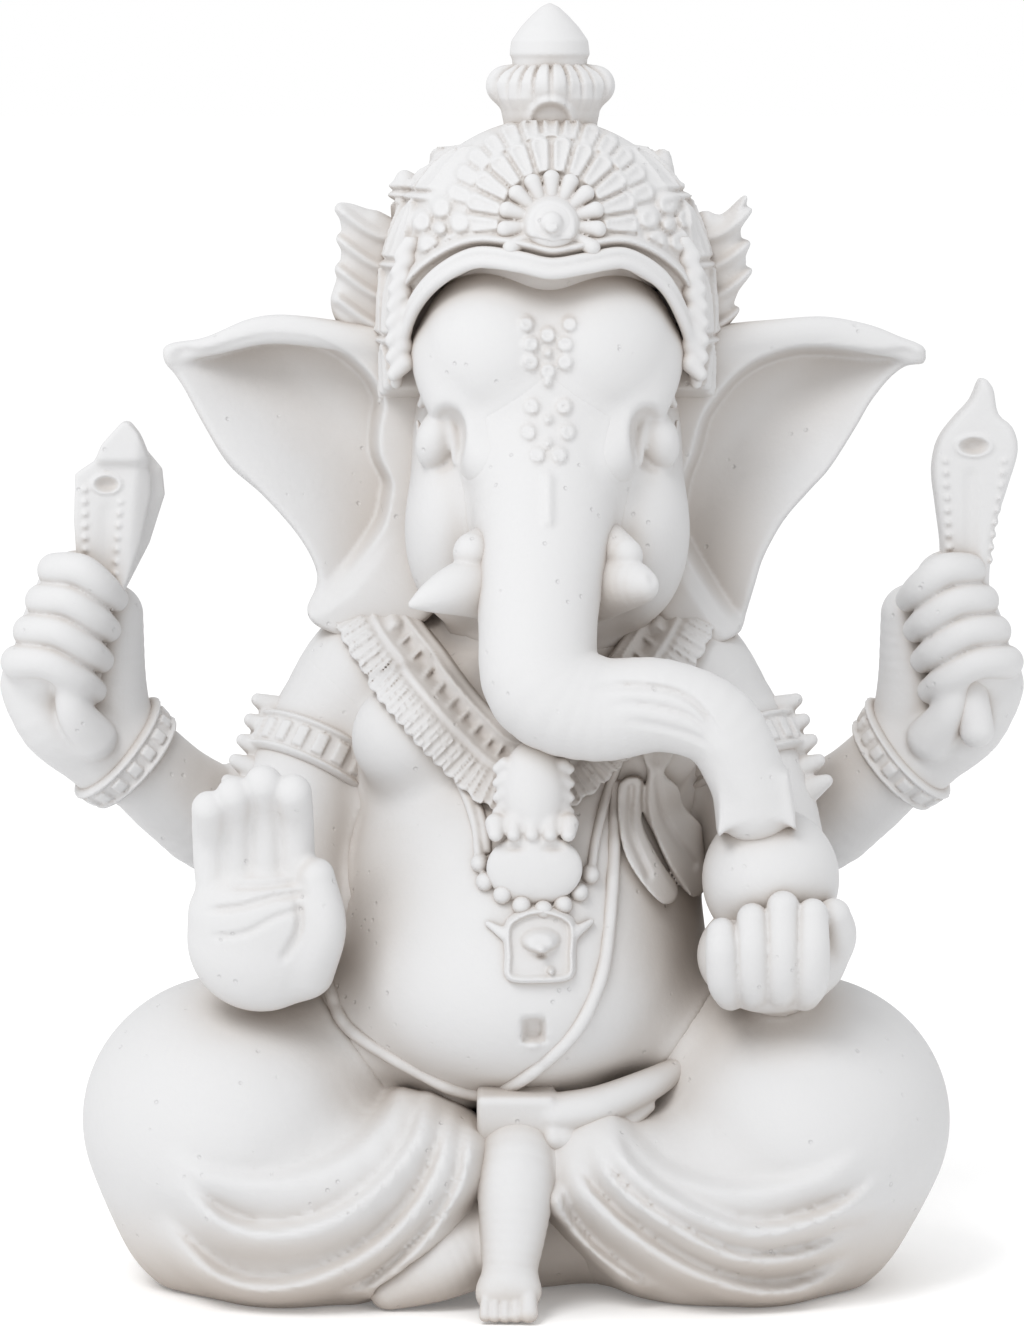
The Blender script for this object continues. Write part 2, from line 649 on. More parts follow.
body_piece("torso", (-29, -34, 14), (32, 33, 90), 0.46, belly_relief, -12)
body_piece("seat", (-33, -28, -1), (33, 37, 32), COARSE)
body_piece("right_leg", (-54, -38, -1), (5, 28, 38), COARSE, leg_relief(-1), -4)
body_piece("left_leg", (-5, -38, -1), (54, 28, 38), COARSE, leg_relief(1), -4)
body_piece("right_foot", (-6, -41, -1), (7, -18, 26), FINER)
body_piece("left_foot", (-19, -37, -1), (-1, -18, 14), FINER)
body_piece("front_right_arm", (-40, -26, 33), (-6, 17, 82), MEDIUM)
body_piece("front_left_arm", (8, -26, 33), (42, 17, 82), MEDIUM)
body_piece("rear_right_arm", (-54, -2, 42), (-4, 27, 78), MEDIUM)
body_piece("rear_left_arm", (5, -2, 42), (55, 27, 78), MEDIUM)
body_piece("rear_right_hand", (-64, -8, 54), (-40, 16, 89), FINE)
body_piece("rear_left_hand", (40, -8, 54), (64, 16, 89), FINE)
body_piece("front_right_hand", (-40, -35, 32), (-17, -15, 66), FINE, palm_relief, -20)
body_piece("front_left_hand", (19, -36, 32), (42, -12, 52), FINE)
body_piece("head", (-16, -22, 70), (24, 24, 123), 0.32, head_relief, -8)
body_piece("trunk", (-9, -36, 52), (37, 2, 121), 0.34, trunk_relief, -8)


# ---- Ears ----
EAR_EDGES = {
    -1: [(46.2, 12.6), (41, 13.9), (36.2, 16), (32.7, 16.6), (28.9, 16.3), (23.6, 15.4), (16, 14.6),
         (9, 10), (8, -4), (11, -15), (16, -21), (22, -22.4), (26.4, -21.2), (28.4, -20), (28.9, -18.4),
         (28.1, -16.7), (27.7, -14.9), (28.4, -12.5), (30.5, -9.2), (34.3, -5), (38.3, -1.5), (41, 2.8),
         (43.6, 7.6)],
    1: [(45.5, 12.4), (42.3, 14.1), (38.3, 15.6), (33.2, 16.3), (27.8, 15.7), (23, 15.3), (16, 14), (9, 10),
        (8, -4), (11, -15), (15, -21), (19, -22.8), (21.6, -22.3), (23.5, -21.2), (24.1, -19.3),
        (25.1, -15.9), (26.2, -12.4), (28.6, -8.1), (31.6, -4.6), (34.2, -1.7), (37.5, 3.4), (39.1, 6.1),
        (41.7, 9.3)],
}
EAR_BOWLS = {
    -1: [(45, 12.6), (41, 12.9), (36.2, 14.2), (32.7, 14.7), (27.8, 14.2), (24.1, 12.5), (20.9, 9.5),
         (19.4, 6.3), (19.9, 3.4), (19.9, 0.1), (18.5, -3.1), (18.6, -5.2), (19.3, -8.2), (20.9, -10.9),
         (23.6, -14.3), (25.7, -16.2), (30, -17.6), (38, -12), (50, 4)],
    1: [(45, 12.3), (39.1, 12.7), (32.9, 13.2), (28.9, 12.9), (25.1, 11.6), (22.2, 9.6), (19.5, 6.4),
        (18.2, 4), (17.2, 0.2), (16, -3), (15.2, -8.4), (15.9, -10.8), (17.7, -14), (20.3, -18),
        (21.9, -19.9), (25, -21.5), (33, -14), (50, 4)],
}
EAR_OPEN_SIDE = [(47, 12.6), (42, 4), (34.6, -4), (29, -11), (26.8, -16), (26.5, -22)]


def ear(side, name):
    """A hollow leaf: a thick upper rim, a bowl open to the outer edge, and a lobe that turns forward."""
    def work(clay):
        x, y, z = clay.places()
        u, w = x[:, 0], z[0]
        edge = outline(u, w, head_outline(EAR_EDGES[side], side))
        bowl = outline(u, w, head_outline(EAR_BOWLS[side], side))
        away, _, _ = stroke(u, w, head_outline(EAR_OPEN_SIDE, side))
        scoop = step_up(away, -2, 13)
        lean = 0.1 * ((u - HEAD[0]) * side - 11) + 0 * w
        lobe = step_up(w - HEAD[2], -8, -19) * 1.6 * step_up(bowl, -0.5, 2)
        front = HEAD[1] - 3.4 + lean + 6.6 * scoop * step_up(-bowl, -0.1, 1.7) - lobe
        back = HEAD[1] - 0.4 + lean + 6.8 * scoop * step_up(-bowl, -3.5, 3.5) + 0.8 * step_up(-edge, 0, 3)
        thick = np.abs(y - ((front + back) / 2)[:, None, :]) - ((back - front) / 2)[:, None, :]
        clay.field = smooth_max(thick, edge[:, None, :], 1.1).astype(np.float32)
        upper = ((13, 11.7), (18, 13), (24, 14), (33, 14.6), (40, 12.7), (45, 11.3))
        rim = [on_head(side * a, 0.1 * a - 3.3, b) for a, b in upper]
        clay.roll(rim, [2.0, 1.9, 1.7, 1.4, 0.9, 0.5], 1.4)

    x = sorted((HEAD[0] + side * 6, HEAD[0] + side * 48))
    sculpt(name + "_ear", (x[0], -6, 73), (x[1], 17, 117), 0.3, work)


for side, name in SIDES:
    ear(side, name)


# ---- Tusks ----
def right_tusk(clay):
    clay.roll(head_path((-5, -16.5, -10), (-8.6, -21.4, -10.2)), [3.8, 2.5], 0.5)
    tusk = head_path((-5.5, -18.5, -14.4), (-9.6, -22.4, -14.2), (-13, -24.6, -14.9), (-15.7, -25.6, -15.8))
    clay.roll(tusk, [4.2, 3.3, 2.0, 0.55], 0.35)


def left_tusk(clay):
    clay.roll(head_path((6, -16.5, -10), (8.9, -20.6, -10.6)), [3.6, 2.2], 0.5)
    clay.roll(head_path((5.6, -18, -14.4), (9.2, -21.4, -13.8), (10.8, -22.6, -13.9)), [4.2, 3, 2.1], 0.35)
    clay.cut(ball(on_head(13.4, -25.2, -12), (2.2, 2.4, 2.4)), 0.3)


sculpt("right_tusk", (-16, -30, 76), (3, -10, 94), FINER, right_tusk)
sculpt("left_tusk", (5, -28, 76), (20, -10, 94), FINER, left_tusk)


# ---- Crown ----
def lathe(centre, low, high, radius):
    """A body turned about an upright axis: radius(w) for w from low to high above its centre."""
    centre = np.array(centre, float)
    widest = float(np.max(radius(np.linspace(low, high, 60))))

    def distance(x, y, z, margin):
        w = z - centre[2]
        slope = (radius(w + 0.05) - radius(w - 0.05)) / 0.1
        away = (np.hypot(x - centre[0], y - centre[1]) - radius(w)) / np.sqrt(1 + np.minimum(slope**2, 40))
        return np.maximum(np.maximum(away, low - w), w - high).astype(np.float32)

    return Shape(centre + (-widest, -widest, low), centre + (widest, widest, high), distance)


def dome_radius(w):
    rise = np.clip((w - 15) / 25.2, 0, 1)
    return 20.1 * np.sqrt(1 - rise**2.35) - 0.9 * np.clip((15 - w) / 15, 0, 1)


RIM = [(-17.9, 9), (-17.2, 13.6), (-15.6, 18), (-12.6, 21.4), (-8.4, 23.5), (-3.6, 23.1), (0.4, 22.3),
       (4.6, 22.9), (9, 23.4), (13.4, 20.8), (16, 16.4), (17.2, 12.4), (17.6, 9)]
FAN = (0.4, 27.9)


def petals(u, w, inner, outer, count, height, phase):
    """A ring of spoon-shaped petals round the fan's centre: each has a raised edge and a hollow inside."""
    a, b = u - FAN[0], w - FAN[1]
    r = np.hypot(a, b)
    turn = (np.arctan2(b, a) / TURN * count + phase) % 1 - 0.5
    beside = math.pi / count * r * 0.95 - np.abs(turn) * TURN / count * r
    tip = outer - (outer - inner) * 0.3 * (2 * turn) ** 2 - r
    edge = np.minimum(np.minimum(beside, tip), r - inner + 0.4)
    return height * (step_up(edge, -0.1, 0.5) - 0.5 * step_up(edge, 0.3, 1.1))


def flower(u, w, at, size):
    """A small scroll of five lobes round an eye."""
    a, b = u - at[0], w - at[1]
    out = 0
    for i in range(5):
        angle = TURN * i / 5 + 0.3
        d = np.hypot(a - size * math.cos(angle), b - size * math.sin(angle))
        out = np.maximum(out, 0.9 * step_up(d, size * 0.72, size * 0.3) - 0.25 * step_up(d, size * 0.4, 0))
    return np.maximum(out, 1.1 * step_up(np.hypot(a, b), size * 0.5, size * 0.15))


def crown_relief(x, z):
    """What the front of the crown shows: a fan of petals, two scrolls, and the channel above the rim."""
    u, w = x - HEAD[0], z - HEAD[2]
    away, side, _ = stroke(u, w, RIM)
    above = np.where(side > 0, away, -away)
    fan = petals(u, w, 6.3, 10.6, 22, 0.85, 0.5)
    fan = np.maximum(fan, petals(u, w, 10.3, 13, 30, 0.6, 0.0))
    fan = np.maximum(fan, 1.5 * step_up(np.hypot(u - FAN[0], w - FAN[1]), 3.6, 2.6))
    fan = np.maximum(fan, 2.7 * step_up(np.hypot(u - FAN[0], w - FAN[1]), 1.5, 0.7))
    for at in ((-12.6, 27.4), (14.2, 27.8)):
        fan = np.maximum(fan * step_up(np.hypot(u - at[0], w - at[1]), 3, 4), flower(u, w, at, 2.4))
    clear = step_up(above, 3.2, 3.9)
    second_rim = bump(above - 2.7, 0.8)
    channel = 0.5 * bump(above - 1.5, 0.8)
    front = step_up(np.abs(u), 18.2, 16.2)
    return front * (fan * clear + second_rim - channel)


# Each row of leaves round the crown: its base, its height and the number of leaves.
LEAF_ROWS = ((5.5, 8, 22), (14.5, 8, 22), (23.5, 7, 18), (31.6, 5.4, 12))
ROSETTE_PETALS = 15
CUP_PETALS = 20
RIM_LEAVES = 8


def leaf_rows(clay):
    """Rows of upright leaves round the sides and the back of the crown, with a plain ring under each row."""
    x, y, z = clay.places()
    angle = np.arctan2(x - HEAD[0], y - HEAD[1])
    behind = step_up(np.abs(angle), 2.25, 2.05)
    w = z - HEAD[2]
    out = 0
    for row, (low, tall, count) in enumerate(LEAF_ROWS):
        u = (angle / TURN * count + 0.5 * row) % 1 - 0.5
        across = np.abs(u) * TURN * dome_radius(w) / count
        t = np.clip((w - low) / tall, 0, 1)
        half = math.pi * dome_radius(low + 0 * w) / count * 0.95 * np.sqrt(np.maximum(1 - t**2.2, 0))
        edge = np.minimum(half - across, w - low)
        vein = 0.3 * bump(across, 0.5) * step_up(edge, 0.4, 0.9)
        out = np.maximum(out, 0.85 * (step_up(edge, 0, 0.4) - 0.5 * step_up(edge, 0.4, 1.2)) + vein)
        out = np.maximum(out, 0.9 * bump(w - low + 0.6, 0.8))
    clay.field -= (behind * out).astype(np.float32)


def rim_path(lift, rise=0.0):
    """The crown's front edge, carried onto the dome."""
    return [on_head(u, -math.sqrt((dome_radius(w) + lift) ** 2 - u * u), w + rise) for u, w in RIM]


def crown_dome(clay):
    clay.add(lathe(on_head(0, 0, 0), -4, 40, dome_radius), 0)
    for x, z in ((-11.8, 34.6), (-16.6, 31.4), (13.2, 33.6)):
        out = 1 if x > 0 else -1
        leaf = head_path((x - out, 2, z - 2.4), (x, 2, z), (x + out * 0.5, 2, z + 1.5))
        clay.roll(leaf, [2.4, 1.7, 0.7], 0.5)
        clay.roll(head_path((x - out * 2.6, 0, z - 1), (x - out * 2, 0, z + 1.4)), [1.7, 0.8], 0.5)
    clay.press(crown_relief, HEAD[1] - 3)
    leaf_rows(clay)
    opening = [(u, w - 0.6) for u, w in RIM] + [(18.4, -30), (-18.1, -30)]
    clay.cut(plate(head_outline(opening), HEAD[1] - 22, 15.5, 0.3, curved=False), 0.4)
    clay.add(ball(on_head(0.4, -5, 21.5), (13.5, 10.5, 4.5)), 1)
    x, y, z = clay.places()
    lower = HEAD[2] + 6 - 0.33 * (y - HEAD[1]) + 0 * x
    clay.keep(lower - z, 0.6)


def crown_rim(clay):
    clay.roll(rim_path(0.2), 0.72, 0)
    clay.roll(rim_path(0.0, 1.25)[1:-1], 0.6, 0.4)
    for side, edge in ((-1, -18.3), (1, 18.2)):
        for i in range(RIM_LEAVES):
            w = 24.5 - 2 * i
            u = edge - side * 0.012 * (w - 15) ** 2 + side * 0.3
            r = dome_radius(w) + 0.3
            y = -math.sqrt(r * r - (u - side * 1.2) ** 2)
            leaf = head_path((u - side * 1.5, y, w + 1), (u - side * 0.2, y, w - 0.4))
            clay.roll(leaf, [1.15, 0.85], 0.5)


def crown_rosette(clay):
    """The boss of the fan: a domed disc with a bead, inside a ring of short petals."""
    tilt = 0.42
    at = on_head(FAN[0], -17.8, FAN[1])
    clay.add(ball(at, (3.3, 1.9, 3.2), (-24, 0, 0)), 0)
    clay.add(ball(at + (0, -1.7, 0.2), (1.35, 1.3, 1.35)), 0.3)
    for i in range(ROSETTE_PETALS):
        angle = TURN * (i + 0.75) / ROSETTE_PETALS
        root = at + (3.3 * math.cos(angle), 0.6 + tilt * 3.3 * math.sin(angle), 3.2 * math.sin(angle))
        tip = at + (5.4 * math.cos(angle), 0.5 + tilt * 5.4 * math.sin(angle), 5.3 * math.sin(angle))
        if tip[2] > HEAD[2] + FAN[1] - 3.2:
            clay.roll([root, tip], [0.75, 1.05], 0.12)


def cup_radius(w):
    return np.interp(w, [37, 39.5, 41, 42.5, 44.4, 45.6, 46.4, 46.8],
                     [5.7, 5.6, 5.9, 6.5, 6.5, 5.8, 4.8, 4.0])


def crown_cup(clay):
    """A flaring cup with four round lobes and twenty petals."""
    clay.add(lathe(on_head(0.4, 0.4, 0), 37.5, 46.8, cup_radius), 0)
    for side in (-1, 1):
        clay.add(ball(on_head(0.4 + side * 5.4, 0.4, 44.1), (2.4, 2.8, 2.4)), 0.7)
        clay.add(ball(on_head(0.4, 0.4 + side * 5, 44.1), (2.8, 2.4, 2.4)), 0.7)

    x, y, z = clay.places()
    w = z - HEAD[2]
    angle = np.arctan2(x - HEAD[0] - 0.4, y - HEAD[1] - 0.4)
    split = 2 * np.abs((angle / TURN * CUP_PETALS) % 1 - 0.5)
    depth = 0.12 + 0.55 * step_up(w, 41.5, 46)
    clay.field += (depth * step_up(split, 0.55, 1) * step_up(w, 40.5, 42)).astype(np.float32)

    def arch(x, z):
        u, w = x - HEAD[0] - 0.4, z - HEAD[2]
        return 0.6 * bump(np.hypot(u, np.maximum(w - 39.6, 0)) - 2.6, 0.8) * step_up(w, 37.5, 39)

    clay.press(arch, HEAD[1] - 1)


def bud_radius(w):
    heights = [44, 46, 47.2, 47.8, 49.4, 51, 52.4, 53.4, 53.9]
    return np.interp(w, heights, [4.2, 4.4, 4.5, 4.8, 4.6, 3.5, 2.2, 1.1, 0.15])


def crown_bud(clay):
    clay.add(lathe(on_head(0.3, 0.4, 0), 43.5, 53.9, bud_radius), 0)


FLAMES = {
    -1: [(-19.4, 28.6), (-21.6, 29.3), (-24.8, 29.9), (-24.6, 26), (-25, 22), (-26, 18), (-24.4, 14.8),
         (-20.4, 13.6), (-15, 14.5), (-15, 25)],
    1: [(18.6, 29), (21, 28.6), (24, 31), (23.2, 27), (23.9, 23), (22.6, 18.5), (20.4, 14), (15, 14),
        (15, 25)],
}


def crown_flame(side, name):
    def work(clay):
        clay.add(plate(head_outline(FLAMES[side]), HEAD[1] + 2.5, 4.4, 2.6), 0)

        def ribs(x, z):
            u, w = (x - HEAD[0]) * side, z - HEAD[2]
            out = 0
            for i in range(4):
                points = [(14.5, 15 + 3.6 * i), (20, 15.4 + 3.6 * i), (25, 18.6 + 3.6 * i)]
                out = out + 0.9 * line(u, w, points, 1.1)
            return out

        clay.press(ribs, HEAD[1] + 2)

    x = sorted((HEAD[0] + side * 12, HEAD[0] + side * 28))
    sculpt(name + "_crown_flame", (x[0], -5, 109), (x[1], 11, 131), FINE, work)


sculpt("crown_dome", (-20, -22, 92), (28, 26, 141), FINE, crown_dome)
sculpt("crown_rim", (-18, -22, 92), (27, 6, 124), FINER, crown_rim)
sculpt("crown_rosette", (-3, -22, 118), (14, -8, 134), 0.2, crown_rosette)
sculpt("crown_cup", (-6, -9, 134), (15, 13, 147), FINEST, crown_cup)
sculpt("crown_bud", (-2, -5, 141), (11, 9, 153), FINEST, crown_bud)
for side, name in SIDES:
    crown_flame(side, name)


# ---- What is worn on the chest ----
SKIN = Clay((-34, -38, 10), (34, 30, 92), 0.5)
torso_and_legs(SKIN)


def laid(points, lift=0.0):
    return [SKIN.front(x, z, lift) for x, z in smooth(points, 1.5)]


def ornament(name, low, high, region, height, depth=1.4, step=FINE, extra=None):
    """A flat ornament on the flesh: region(x, z) is its outline's distance, height(x, z) its thickness."""
    def work(clay):
        torso_and_legs(clay)
        x, _, z = clay.places()
        skin = clay.field
        edge = region(x[:, 0], z[0])[:, None, :]
        top = skin - height(x[:, 0], z[0])[:, None, :]
        clay.field = smooth_max(np.maximum(top, -skin - depth), edge, 0.3).astype(np.float32)
        if extra:
            extra(clay)

    sculpt(name, low, high, step, work)


COLLAR = [(-17.6, 80.5), (-14.6, 76), (-10.2, 71.2), (-5.8, 66.4), (-2, 63), (2.2, 62), (6.2, 63),
          (10, 66.4), (14.2, 71), (18.2, 76), (20.8, 80.5)]


def collar_region(x, z):
    away, side, share = stroke(x, z, COLLAR)
    across = away * side
    scallop = 0.5 * np.abs(np.sin(share * 34 * math.pi))
    return np.maximum(across - 4.2, -across - 4.4 - scallop)


def collar_height(x, z):
    """From the inside out: a plain band, a row of square cells between two cords, and ribbed petals."""
    away, side, share = stroke(x, z, COLLAR)
    across = away * side
    cells = np.abs(np.sin(share * 26 * math.pi))
    ribs = np.abs(np.sin(share * 34 * math.pi))
    out = 1.3 + 0.3 * step_up(across, 2.6, 3.2)
    out = out - 0.6 * step_up(cells, 0.25, 0.6) * bump(across - 1.5, 1.2)
    out = out + 0.3 * bump(across + 0.1, 0.6) + 0.25 * bump(across - 3, 0.6)
    petal = step_up(across, -0.6, -1.4)
    return out + petal * (0.15 + 0.55 * ribs - 0.55 * bump(ribs - 0.95, 0.3))


def collar_back(clay):
    x, y, z = clay.places()
    clay.keep(y - 1 + 0 * (x + z), 0.3)
    ring = [(-14, -3, 77.5), (-14.6, 3, 79.4), (-11, 11, 80.5), (2, 15.6, 80.4), (14.6, 11, 80.5),
            (18, 3, 79.4), (17.2, -3, 77.5)]
    clay.roll(ring, [0.9, 1.7, 1.9, 1.9, 1.9, 1.7, 0.9], 0.8)


def bib(clay):
    """An egg-shaped drop with a pleated edge, over a smooth shield."""
    clay.add(ball((2.5, -25.2, 60.2), (3.9, 3.2, 6.2)), 0)
    for i in range(5):
        for side in (-1, 1):
            x, z = 2.5 + side * 3.7, 63.4 - 1.7 * i
            clay.roll([(x - side * 0.4, -25.8, z + 0.3), (x + side * 0.5, -25.6, z - 0.3)], [0.8, 0.6], 0.5)
    for i in range(5):
        x = -1.9 + 2.1 * i
        clay.roll([(x, -26.8, 56.8), (x, -27.9, 55.7)], [1.25, 0.85], 0.6)
    clay.add(ball((2.6, -27, 51.6), (5.6, 1.5, 4.3)), 0.4)
    for x in (0.1, 4.9):
        clay.cut(ball((x, -29.4, 54.2), (1.9, 1.9, 0.6)), 0.5)


BEADS = [(-3.7, 52), (-3.1, 50), (-1.1, 48.6), (1.1, 47.4), (3.6, 46.9), (5.9, 47.4), (7.8, 48.7),
         (9.1, 50.6)]


def bead_necklace(clay):
    for x, z in BEADS:
        clay.add(ball(SKIN.front(x, z, 0.35), 1.12), 0.25)
    clay.roll(laid([(-7.4, 63), (-5.6, 59.6), (-4.2, 56), (-3.8, 52.6)], 0.2), 0.62, 0.3)
    clay.roll(laid([(-6.4, 63), (-4.6, 59.6), (-3.2, 56), (-2.8, 53.4)], 0.2), 0.5, 0.3)
    clay.roll(laid([(9.2, 51), (9.8, 54.5), (11, 58.6), (12.4, 62.5)], 0.2), 0.6, 0.3)


def pendant_region(x, z):
    return outline(x, z, [(-0.7, 45.8), (-0.9, 42), (-0.6, 39.2), (3.2, 38.8), (7, 39.2), (7.4, 42),
                          (7.2, 45.8), (3.2, 47.4)])


def pendant_height(x, z):
    edge = -pendant_region(x, z)
    out = 0.5 + 0.75 * bump(edge - 0.55, 0.6)
    out = np.maximum(out, 1.9 * step_up(np.hypot((x - 3.3) / 3.1, (z - 43.6) / 1.9), 1, 0.35))
    out = out + 0.8 * bump(np.hypot(x - 3.5, z - 42.6), 0.9)
    out = out - 0.6 * bump(np.hypot(x - 3.4, (z - 41.9) * 1.6), 0.8)
    return np.maximum(out, 1.7 * bump(np.hypot(x - 4.5, z - 40.2), 0.9))


def pendant_horns(clay):
    for side in (-1, 1):
        root, tip = SKIN.front(3.2 + side * 4, 44.2, 0.3), SKIN.front(3.2 + side * 6, 45.4, 0.5)
        clay.roll([root, tip], [0.75, 0.35], 0.3)


THREAD = [(12.2, 60), (11.9, 52.4), (11.3, 44.5), (10.2, 38.7), (7.3, 32.8), (2.4, 27.8), (-2.3, 24.6),
          (-6.5, 24.9), (-13, 27.9), (-19.4, 31.9), (-21.6, 36)]


def sacred_thread(clay):
    clay.roll(laid(THREAD, 0.05), 0.8, 0)


def cloth_region(x, z):
    knot = outline(x, z, [(14.4, 67.5), (19.6, 67.5), (18.9, 63.6), (17.8, 61.6), (19.6, 59.4),
                          (20.4, 56.6), (23.4, 53), (24.4, 48.6), (22, 46.4), (19.4, 48.6), (16.8, 54),
                          (15, 58), (15.9, 61.6)])
    tail = outline(x, z, [(12.6, 60.5), (15.4, 60.8), (15.2, 56), (17, 52), (19.6, 47.6), (17.6, 46.6),
                          (14, 51), (12.6, 55)])
    return np.minimum(knot, tail)


PLEATS = [
    ([(15.7, 62), (15.6, 57), (17.4, 52), (20.4, 47)], 0.7),
    ([(17, 66), (17, 62), (18, 56), (21.6, 50)], 0.35),
    ([(14, 60), (13.9, 55), (16, 50)], 0.5),
]


def cloth_height(x, z):
    """A knotted scarf whose pleats run down from the knot."""
    out = 1.5 + 0 * (x + z)
    for points, depth in PLEATS:
        out = out - depth * line(x, z, points, 0.7)
    return out + 0.5 * bump(np.hypot(x - 17, (z - 62) * 1.3), 2)


ornament("collar_necklace", (-24, -24, 56), (28, 22, 86), collar_region, collar_height, extra=collar_back)
sculpt("bib_pendant", (-5, -33, 46), (10, -19, 69), FINER, bib)
sculpt("bead_necklace", (-10, -34, 45), (15, -14, 66), FINER, bead_necklace)
ornament("necklace_pendant", (-5, -36, 37), (12, -22, 49), pendant_region, pendant_height, 0.6, 0.2,
         pendant_horns)
sculpt("sacred_thread", (-24, -34, 22), (15, -8, 62), 0.26, sacred_thread)
ornament("shoulder_cloth", (11, -34, 44), (26, -8, 70), cloth_region, cloth_height)


# ---- Waist ----
def waist_sash(clay):
    clay.add(block((0.5, -25.4, 22), (4.6, 2.6, 3.5), 0.8, (12, 0, 0)), 0)
    clay.roll([(5.2, -26.2, 22.6), (10, -25.8, 23.4), (15.4, -23.4, 25.2), (20, -19.6, 27)],
              [2.5, 2.4, 2.0, 1.4], 0.5)
    clay.roll([(5, -27.4, 20), (8.6, -26.6, 19.4), (12.6, -25.4, 20.8), (16, -23.5, 23)],
              [1.6, 1.5, 1.2, 0.8], 0.4)
    clay.cut(limb([(5.6, -29.4, 21.2), (8.6, -29, 21.8)], [0.9, 0.6]), 0.3)


sculpt("waist_sash", (-17, -33, 15), (23, -15, 31), FINE, waist_sash)


# ---- Bands on the arms ----
def arm_band(name, low, high, arm, centre, axis, reach, half, studs, extra=None):
    """A band that hugs an arm between two planes: a cord along each edge and studs between them."""
    centre, axis = np.array(centre, float), np.array(axis, float)
    axis = axis / np.linalg.norm(axis)
    across = np.cross(axis, (0, 1, 0.2))
    across /= np.linalg.norm(across)
    upward = np.cross(axis, across)

    def work(clay):
        arm(clay)
        x, y, z = clay.places()
        p = (x - centre[0], y - centre[1], z - centre[2])
        along = sum(a * q for a, q in zip(axis, p))
        angle = np.arctan2(sum(a * q for a, q in zip(upward, p)), sum(a * q for a, q in zip(across, p)))
        turn = (angle / TURN * studs) % 1 - 0.5
        height = 0.55 + 0.55 * bump(np.abs(along) - half + 0.55, 0.55)
        square = np.maximum(np.abs(turn) / 0.34, np.abs(along) / max(half - 1.0, 0.6))
        height = np.maximum(height, 1.0 * step_up(square, 1.15, 0.7))
        skin = clay.field
        clay.field = smooth_max(np.maximum(skin - height, -skin - 1.2), np.abs(along) - half, 0.3)
        clay.keep(np.sqrt(sum(q * q for q in p)) - reach, 0.2)
        if extra:
            extra(clay)

    sculpt(name, low, high, FINER, work)


def leaves(side):
    """Small jagged leaves that stand out from the outer side of the armband."""
    def work(clay):
        for i in range(5):
            x, y, z = 1.8 + side * (32 + 0.85 * i), 1 - 1.3 * i, 68 - 2.3 * i
            clay.roll([(x - side * 3, y, z - 1.6), (x + side * 0.5, y - 0.3, z + 0.2)], [2.1, 0.8], 0.5)
    return work


for side, name in SIDES:
    x = sorted((1.8 + side * 11, 1.8 + side * 38))
    upper = lambda clay, side=side: front_arm(clay, side, None)
    arm_band(f"{name}_armband", (x[0], -16, 50), (x[1], 16, 74), upper, (1.8 + side * 25.6, 0, 61),
             (side * 0.42, -0.36, -0.83), 11.5, 2.6, 20, leaves(side))
    x = sorted((side * 36, side * 58))

    def lower(clay, side=side):
        rear_arm(clay, side, None)
        rear_hand(clay, side, None)

    arm_band(f"rear_{name}_bracelet", (x[0], -2, 48), (x[1], 20, 72), lower, (side * 47.2, 7.8, 60.6),
             (side * 0.7, -0.28, 0.66), 9.5, 2.0, 16)


# ---- What the hands hold ----
def beads(aside, z, pitch, radius):
    """A row of beads up a border. It takes the distance to the border's line."""
    return bump(np.hypot(((z - 80) / pitch % 1 - 0.5) * pitch, aside), radius)


def niche(across, along, depth):
    """A shallow oval hollow inside a raised line. It takes shares of its half width and half height."""
    share = np.hypot(across, along)
    return 0.3 * bump(share - 1.1, 0.35) - depth * step_up(share, 1, 0.3)


def axe(clay):
    """A flat ceremonial blade: a faceted leaf with a beaded border and a shallow niche below the point."""
    points = [(-46.3, 101), (-49.4, 97.6), (-52.4, 95.6), (-52.6, 90), (-52.2, 83.4), (-51.6, 79),
              (-48.2, 79), (-46.4, 82), (-43.8, 87), (-41.9, 92.9), (-42.2, 96)]
    clay.add(plate(points, 1.4, 2.6, 0.5, curved=False), 0)
    clay.roll([(-50, 2, 81), (-52.4, 3, 67)], [2.2, 2.2], 0.8)

    def face(x, z):
        ridge = -45.4 + (z - 96) * 0.09
        out = -2.2 * step_up(x, ridge, ridge + 3.6)
        out = out + 0.45 * beads(x + 51.2, z, 1.45, 0.62) * step_up(z, 95, 94)
        out = out + 0.35 * beads(x - ridge + 1.2, z, 1.45, 0.6) * step_up(z, 93, 92)
        out = out + niche((x + 48.6) / 1.5, z - 94.4, 0.7)
        facet = 0.9 * step_up(z, 96.2, 97.6) * step_up(x, -50.4, -49)
        groove = 0.25 * bump(x + 48.6, 1.6) * step_up(z, 93, 91)
        return out + facet - groove

    clay.press(face, 1.2)


